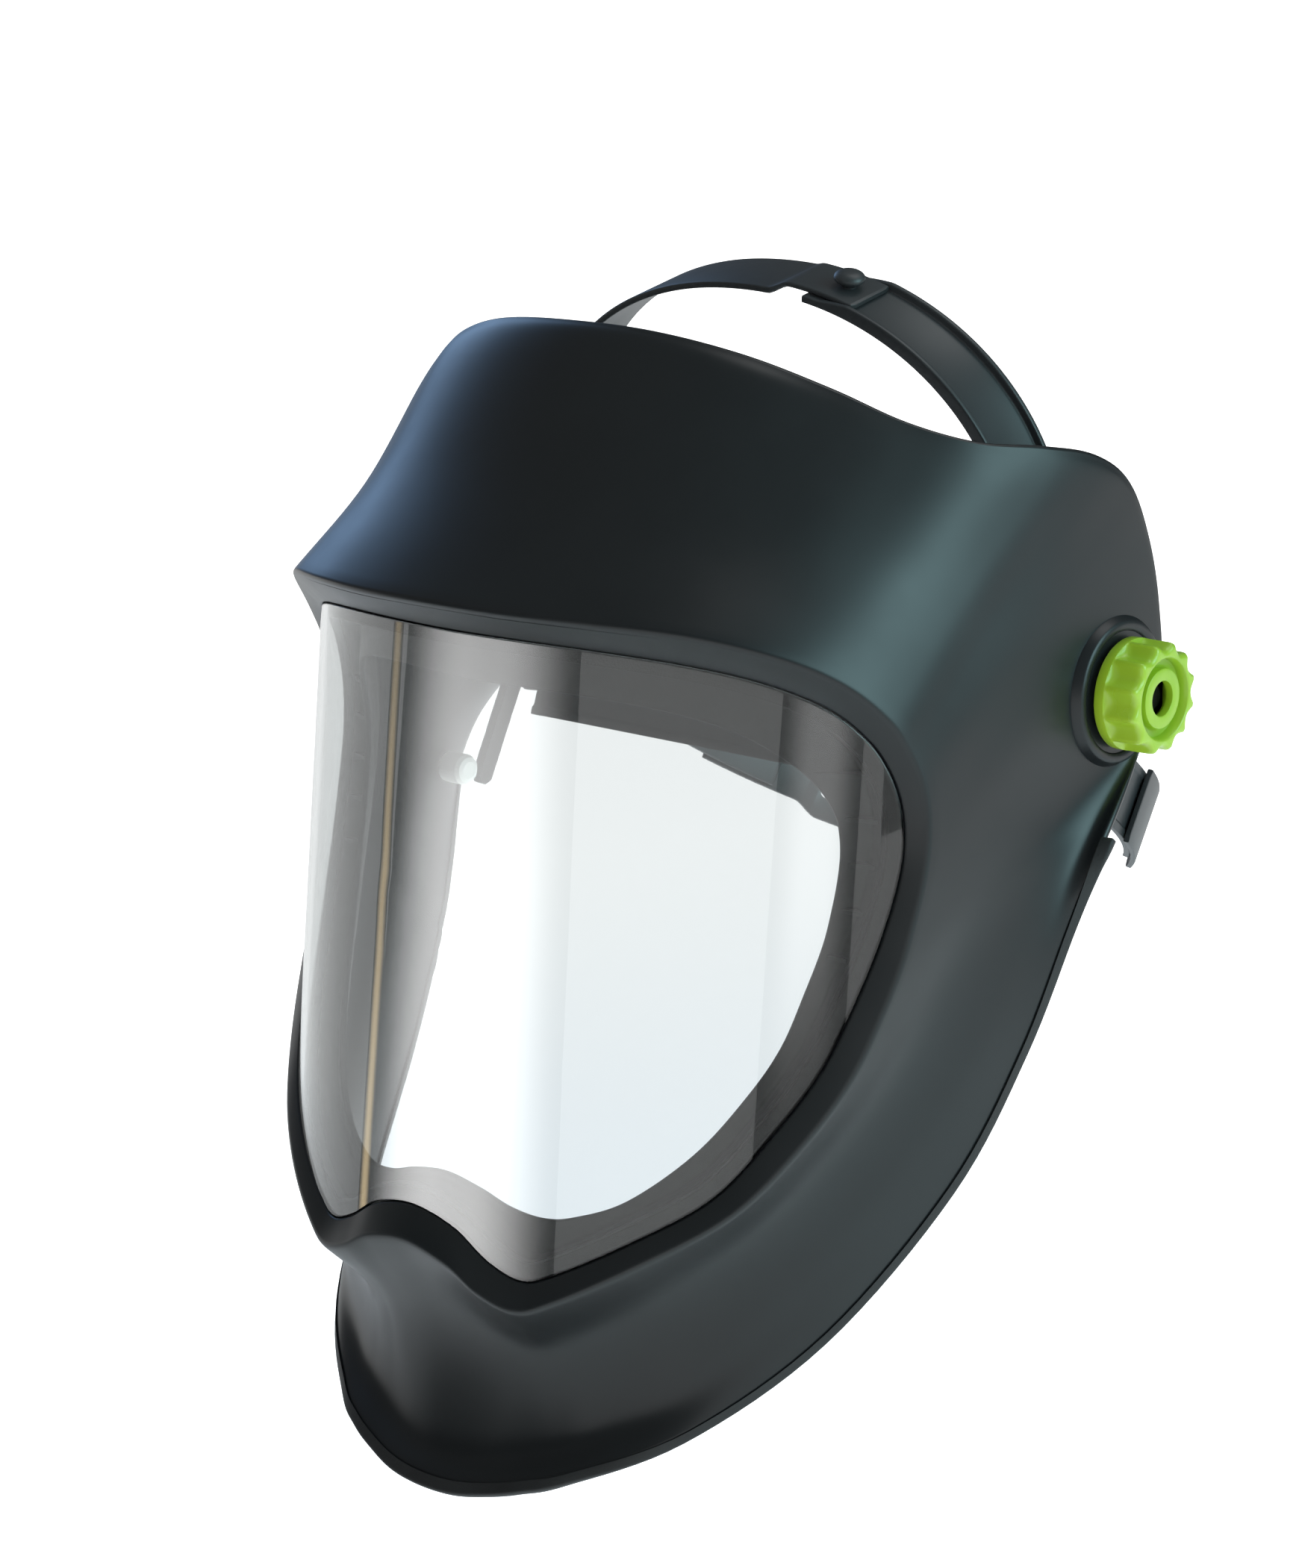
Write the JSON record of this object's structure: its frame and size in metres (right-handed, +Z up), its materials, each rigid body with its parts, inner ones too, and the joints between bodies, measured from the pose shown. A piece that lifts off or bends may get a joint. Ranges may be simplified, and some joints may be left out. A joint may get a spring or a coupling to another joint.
{
  "type": "face shield helmet",
  "caption": "Dark face shield with a large clear curved visor on an adjustable head harness; it tips up on two side pivots clamped by scalloped knobs.",
  "frame": {"origin": "middle of the pivot axis, on the line through both side knobs", "axes": "+X to the wearer's left, -Y to the front, +Z up"},
  "size_m": [0.27, 0.3081, 0.3379],
  "materials": {
    "shell": "matte dark anthracite injection-moulded polyamide",
    "trim": "soft black edge bead",
    "lens": "clear hard-coated polycarbonate sheet, curved one way",
    "gasket": "black foam rubber strip",
    "frame": "black injection-moulded polyamide",
    "steel": "bright zinc-plated steel",
    "brass": "turned brass",
    "knob": "lime green moulded polyamide, satin gloss",
    "acetal": "white acetal",
    "padding": "charcoal padded fabric over foam",
    "strap": "charcoal flexible polyethylene strap"
  },
  "bodies": {
    "harness": {"crown_peg": "strap", "crown_rivet_left": "strap", "crown_rivet_right": "strap", "crown_strap_left": "strap", "crown_strap_right": "strap", "headband": "strap", "left_guide": "frame", "left_guide_screw_front": "steel", "left_guide_screw_rear": "steel", "ratchet_cover": "frame", "ratchet_housing": "frame", "ratchet_spring": "steel", "rear_pad": "padding", "right_guide": "frame", "right_guide_screw_front": "steel", "right_guide_screw_rear": "steel", "sweatband": "padding"},
    "left_carrier": {"left_carriage": "frame", "left_pivot_bolt": "steel", "left_friction_washer": "acetal", "left_spring_washer": "steel"},
    "right_carrier": {"right_carriage": "frame", "right_pivot_bolt": "steel", "right_friction_washer": "acetal", "right_spring_washer": "steel"},
    "shell": {"frame_screw_1": "steel", "frame_screw_2": "steel", "frame_screw_3": "steel", "frame_screw_4": "steel", "frame_screw_5": "steel", "frame_screw_6": "steel", "left_pivot_bush": "acetal", "left_stop_peg": "acetal", "outer_shell": "shell", "right_pivot_bush": "acetal", "right_stop_peg": "acetal", "rim_trim": "trim", "visor_frame": "frame", "visor_gasket": "gasket", "visor_lens": "lens"},
    "left_knob_body": {"left_knob": "knob", "left_knob_nut": "brass"},
    "right_knob_body": {"right_knob": "knob", "right_knob_nut": "brass"},
    "left_strap": {"left_rack_strap": "strap"},
    "right_strap": {"right_rack_strap": "strap"},
    "ratchet_drive": {"ratchet_knob": "strap", "ratchet_pinion": "acetal"}
  },
  "joints": [
    {"name": "reach_left", "type": "slide", "parent": "harness", "child": "left_carrier", "axis": [0, 1, 0], "range_m": [-0.008, 0.008]},
    {"name": "reach_right", "type": "slide", "parent": "harness", "child": "right_carrier", "axis": [0, 1, 0], "range_m": [-0.008, 0.008]},
    {"name": "shell_flip", "type": "hinge", "parent": "left_carrier", "child": "shell", "pos_m": [0, 0, 0], "axis": [-1, 0, 0], "range_deg": [0, 76]},
    {"name": "left_knob_turn", "type": "hinge", "parent": "left_carrier", "child": "left_knob_body", "pos_m": [0.128, 0, 0], "axis": [1, 0, 0], "range_deg": [0, 360]},
    {"name": "right_knob_turn", "type": "hinge", "parent": "right_carrier", "child": "right_knob_body", "pos_m": [-0.128, 0, 0], "axis": [-1, 0, 0], "range_deg": [0, 360]},
    {"name": "ratchet_turn", "type": "hinge", "parent": "harness", "child": "ratchet_drive", "pos_m": [0, 0.12772, -0.08901], "axis": [0, 0.8572, -0.515], "range_deg": [-175, 175]},
    {"name": "left_strap_feed", "type": "hinge", "parent": "harness", "child": "left_strap", "pos_m": [0, 0.042, -0.03751], "axis": [0, 0.515, 0.8572], "range_deg": [-11.91, 11.91]},
    {"name": "right_strap_feed", "type": "hinge", "parent": "harness", "child": "right_strap", "pos_m": [0, 0.042, -0.03751], "axis": [0, 0.515, 0.8572], "range_deg": [-11.91, 11.91]}
  ],
  "couplings": [
    {"joint": "reach_right", "follows": "reach_left", "ratio": 1},
    {"joint": "left_strap_feed", "follows": "ratchet_turn", "ratio": -0.06749},
    {"joint": "right_strap_feed", "follows": "ratchet_turn", "ratio": 0.06749}
  ]
}
